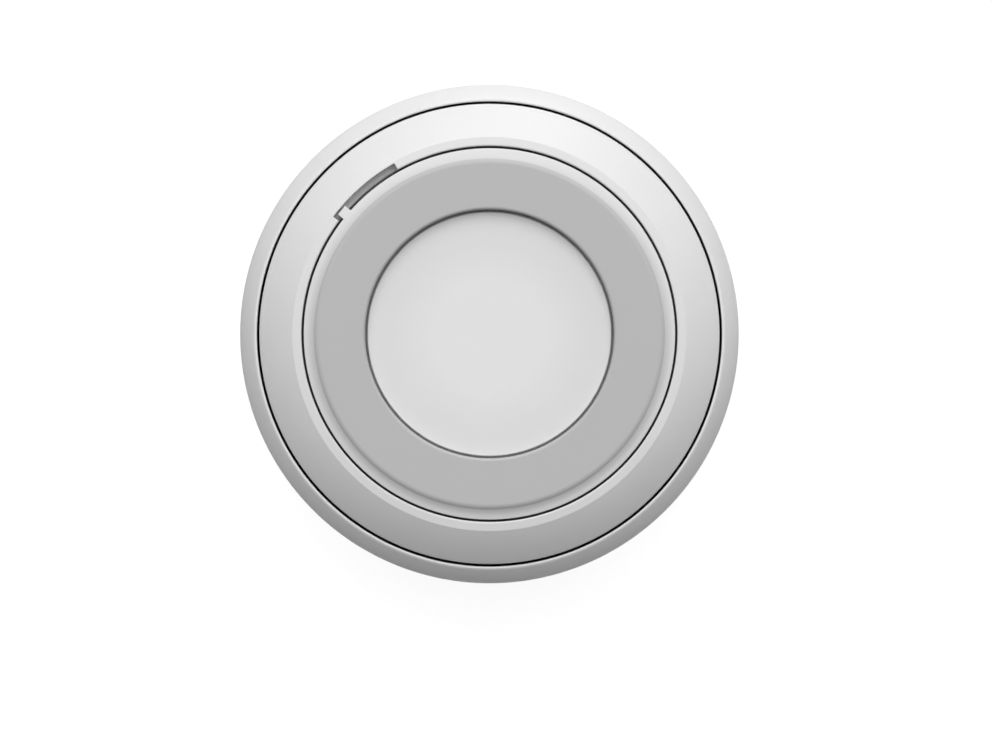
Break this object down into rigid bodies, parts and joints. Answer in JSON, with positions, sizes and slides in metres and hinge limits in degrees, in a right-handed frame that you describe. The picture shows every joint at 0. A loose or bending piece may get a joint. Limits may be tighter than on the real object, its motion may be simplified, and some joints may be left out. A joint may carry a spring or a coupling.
{
  "type": "panic button",
  "caption": "Round wireless panic button: recessed button in a raised non-slip ring, twist-to-reset collar, domed bezel and a screw-on or stick-on base.",
  "frame": {"origin": "centre of the adhesive pad's underside", "axes": "+Z out of the pressed face, +Y towards 12 o'clock as the picture shows it, +X to the right"},
  "size_m": [0.046, 0.046, 0.02],
  "materials": {
    "white_plastic": "fine satin moulded white",
    "grey_grip": "smooth matt light grey soft plastic",
    "inner_plastic": "dark grey moulded plastic",
    "slider_plastic": "natural acetal",
    "foam": "black foam tape",
    "seal_rubber": "black silicone",
    "steel": "zinc plated",
    "spring_steel": "drawn stainless wire",
    "magnet_nickel": "nickel plated",
    "cell_steel": "stainless can",
    "contact_metal": "tinned copper alloy",
    "board_green": "solder mask over glass fibre",
    "chip_black": "black moulding compound",
    "tinned_can": "tinned sheet",
    "chip_tan": "ceramic chips",
    "led_lens": "clear resin over phosphor"
  },
  "bodies": {
    "base": {"adhesive_pad": "foam", "base_shell": "white_plastic", "base_magnets": "magnet_nickel", "tamper_magnet": "magnet_nickel"},
    "front_unit": {"front_bezel": "white_plastic", "unit_seal": "seal_rubber", "unit_cover": "white_plastic", "keeper_discs": "steel", "case_screws": "steel", "chassis": "inner_plastic", "chassis_screws": "steel", "circuit_board": "board_green", "switch_body": "chip_black", "microcontroller": "chip_black", "radio_module": "board_green", "radio_shield": "tinned_can", "crystal": "tinned_can", "chip_parts": "chip_tan", "antenna": "contact_metal", "status_leds": "led_lens", "tamper_sensor": "chip_black", "battery_holder": "inner_plastic", "coin_cell": "cell_steel", "positive_contact": "contact_metal", "negative_contact": "contact_metal", "return_spring": "spring_steel", "collar_spring": "spring_steel", "latch_springs": "spring_steel"},
    "turning_collar": {"collar": "white_plastic", "grip_ring": "grey_grip", "cam_ring": "slider_plastic", "cam_screws": "steel"},
    "button": {"button_cap": "white_plastic"},
    "plunger": {"switch_plunger": "slider_plastic"},
    "right_latch": {"latch_right": "slider_plastic"},
    "left_latch": {"latch_left": "slider_plastic"}
  },
  "joints": [
    {"name": "unit_lift", "type": "slide", "parent": "base", "child": "front_unit", "axis": [0, 0, 1], "range_m": [0, 0.025]},
    {"name": "collar_twist", "type": "hinge", "parent": "front_unit", "child": "turning_collar", "pos_m": [0, 0, 0.018], "axis": [0, 0, 1], "range_deg": [-18.5, 0], "stiffness_Nm_per_rad": 0.01, "springref_deg": 8.59, "deforming": ["collar_spring", "latch_springs"]},
    {"name": "button_press", "type": "slide", "parent": "front_unit", "child": "button", "axis": [0, 0, -1], "range_m": [0, 0.0015], "stiffness_N_per_m": 1200, "springref_m": -0.0008, "deforming": ["return_spring"]},
    {"name": "plunger_press", "type": "slide", "parent": "front_unit", "child": "plunger", "axis": [0, 0, -1], "range_m": [0, 0.0003]},
    {"name": "right_latch_slide", "type": "slide", "parent": "front_unit", "child": "right_latch", "axis": [1, 0, 0], "range_m": [0, 0.0008]},
    {"name": "left_latch_slide", "type": "slide", "parent": "front_unit", "child": "left_latch", "axis": [-1, 0, 0], "range_m": [0, 0.0008]}
  ],
  "couplings": [
    {"joint": "plunger_press", "follows": "button_press", "ratio": 0.2},
    {"joint": "right_latch_slide", "follows": "collar_twist", "m_per_rad": -0.0024776},
    {"joint": "left_latch_slide", "follows": "collar_twist", "m_per_rad": -0.0024776}
  ]
}
